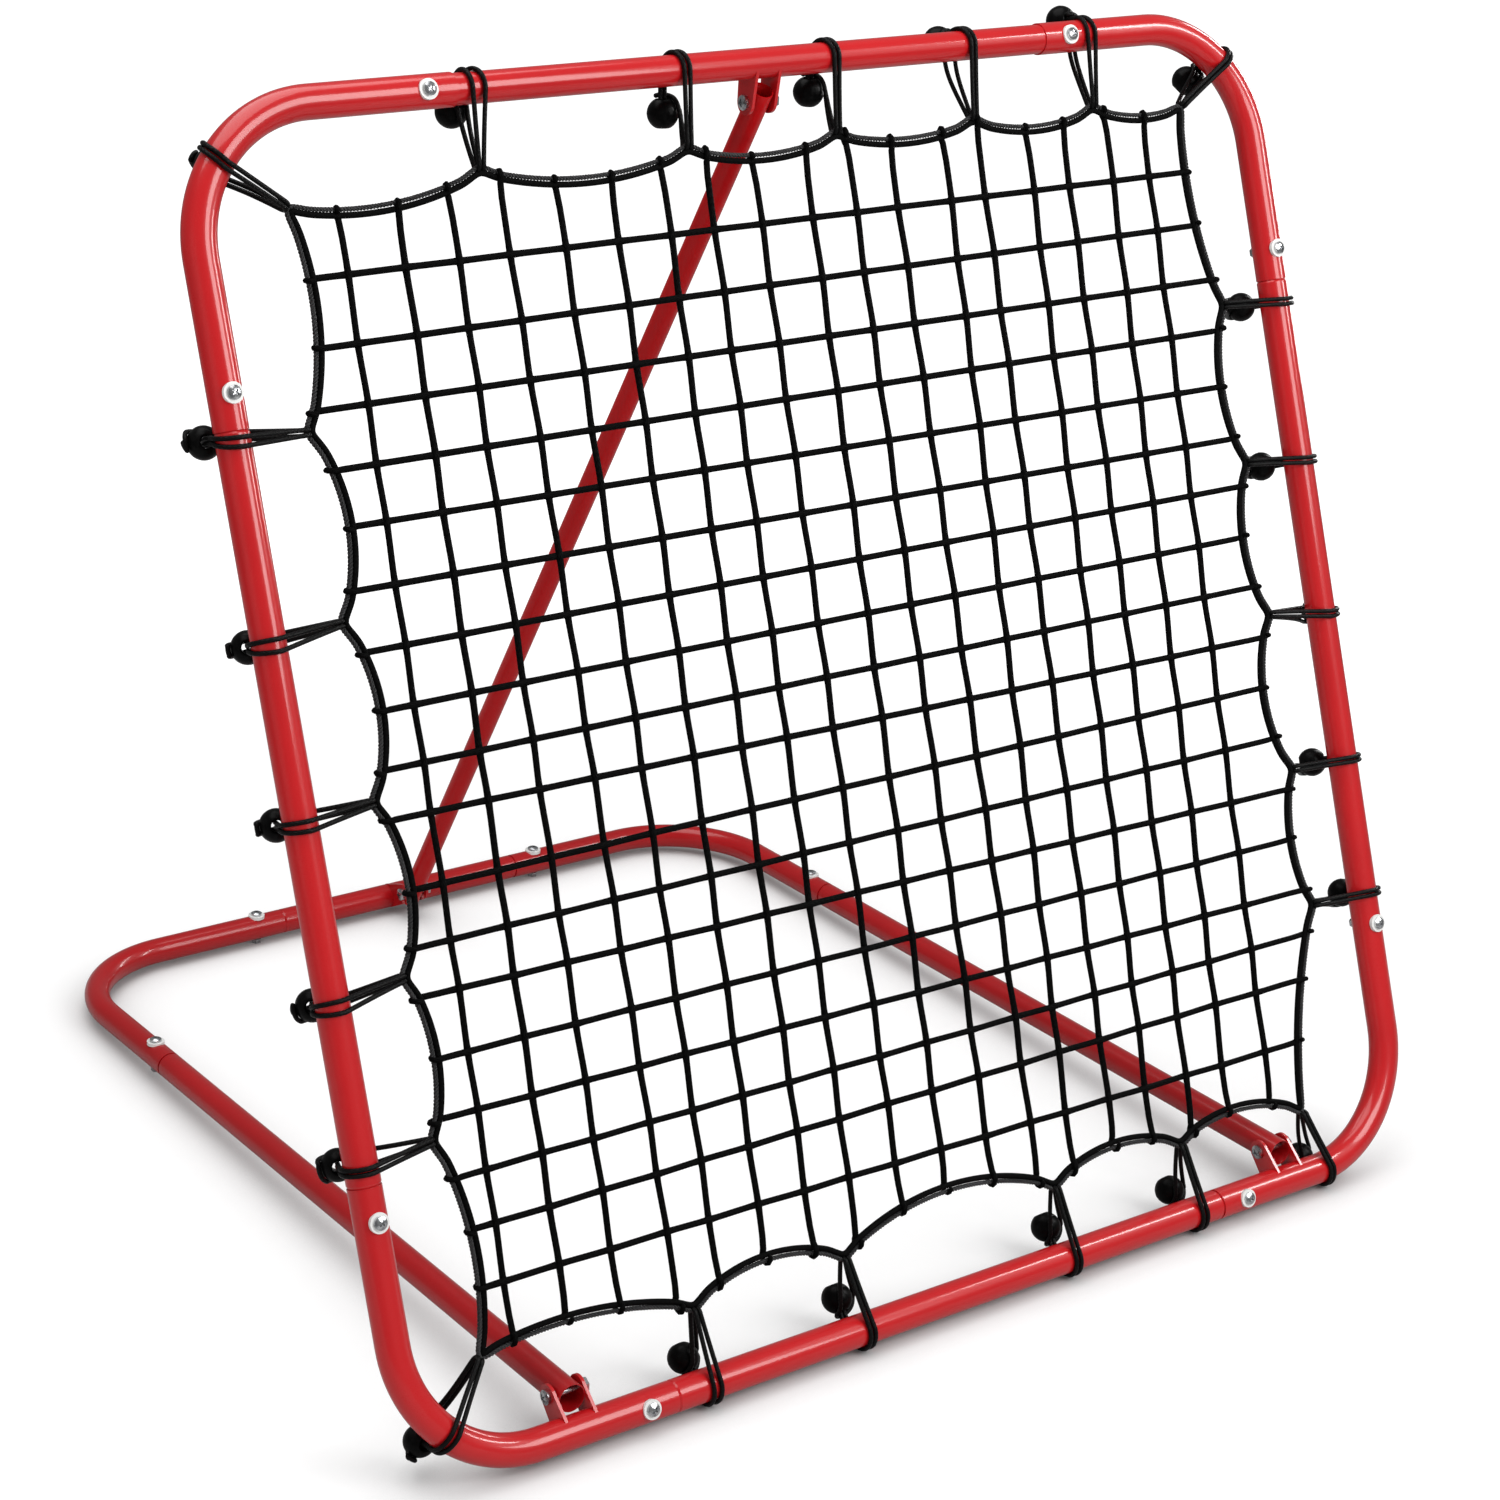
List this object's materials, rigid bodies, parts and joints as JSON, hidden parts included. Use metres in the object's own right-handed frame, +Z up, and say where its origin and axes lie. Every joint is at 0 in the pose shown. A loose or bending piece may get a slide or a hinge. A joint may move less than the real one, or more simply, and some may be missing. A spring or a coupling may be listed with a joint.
{
  "type": "pitch back rebounder",
  "caption": "Net rebounder for throwing practice: a leaning tube frame with a scalloped cord net on ball bungees, a folding U-shaped ground base and a rear strut.",
  "frame": {"origin": "on the ground, midway across and midway between the foremost and rearmost points", "axes": "+X to the right seen from the front, +Y to the rear (the strut's side), +Z up"},
  "size_m": [1.0241, 0.8784, 0.9269],
  "materials": {
    "powder_red": "smooth glossy red powder coat on steel tube",
    "zinc_steel": "bright zinc-plated steel bolts and nuts",
    "saddle_washer": "white moulded saddle washers",
    "mesh_cord": "matt black braided polyethylene mesh cord",
    "border_cord": "smooth black braided border cord",
    "hem_rope": "fine twisted black rope with a slight sheen",
    "bungee_cord": "black braided elastic cord with a satin sheen",
    "bungee_ball": "black moulded plastic balls"
  },
  "bodies": {
    "base": {"base_tube_left": "powder_red", "base_tube_right": "powder_red", "base_corner_left": "powder_red", "base_corner_right": "powder_red", "base_rear_tube": "powder_red", "base_bolts": "zinc_steel", "base_washers": "saddle_washer", "base_nuts": "zinc_steel", "strut_foot_bracket": "powder_red"},
    "frame": {"top_tube": "powder_red", "bottom_tube": "powder_red", "left_tube": "powder_red", "right_tube": "powder_red", "corner_top_left": "powder_red", "corner_top_right": "powder_red", "corner_bottom_left": "powder_red", "corner_bottom_right": "powder_red", "strut_bracket": "powder_red", "base_bracket_left": "powder_red", "base_bracket_right": "powder_red", "frame_bolts": "zinc_steel", "frame_washers": "saddle_washer", "frame_nuts": "zinc_steel", "net": "mesh_cord", "net_border": "border_cord", "net_hem_rope": "hem_rope", "bungee_cords_top": "bungee_cord", "bungee_cords_left": "bungee_cord", "bungee_cords_right": "bungee_cord", "bungee_cords_bottom": "bungee_cord", "bungee_cords_corners": "bungee_cord", "bungee_balls_top": "bungee_ball", "bungee_balls_left": "bungee_ball", "bungee_balls_right": "bungee_ball", "bungee_balls_bottom": "bungee_ball", "bungee_balls_corners": "bungee_ball", "base_hinge_bolts": "zinc_steel", "base_hinge_nuts": "zinc_steel", "strut_top_bolt": "zinc_steel", "strut_top_nut": "zinc_steel"},
    "strut": {"strut": "powder_red", "strut_foot_bolt": "zinc_steel", "strut_foot_nut": "zinc_steel"}
  },
  "joints": [
    {"name": "frame_fold", "type": "hinge", "parent": "base", "child": "frame", "pos_m": [0, -0.40077, 0.03747], "axis": [-1, 0, 0], "range_deg": [0, 60.8]},
    {"name": "strut_fold", "type": "hinge", "parent": "frame", "child": "strut", "pos_m": [0, -0.07472, 0.87806], "axis": [-1, 0, 0], "range_deg": [0, 49.8]}
  ],
  "couplings": [
    {"joint": "strut_fold", "follows": "frame_fold", "ratio": 0.817}
  ]
}
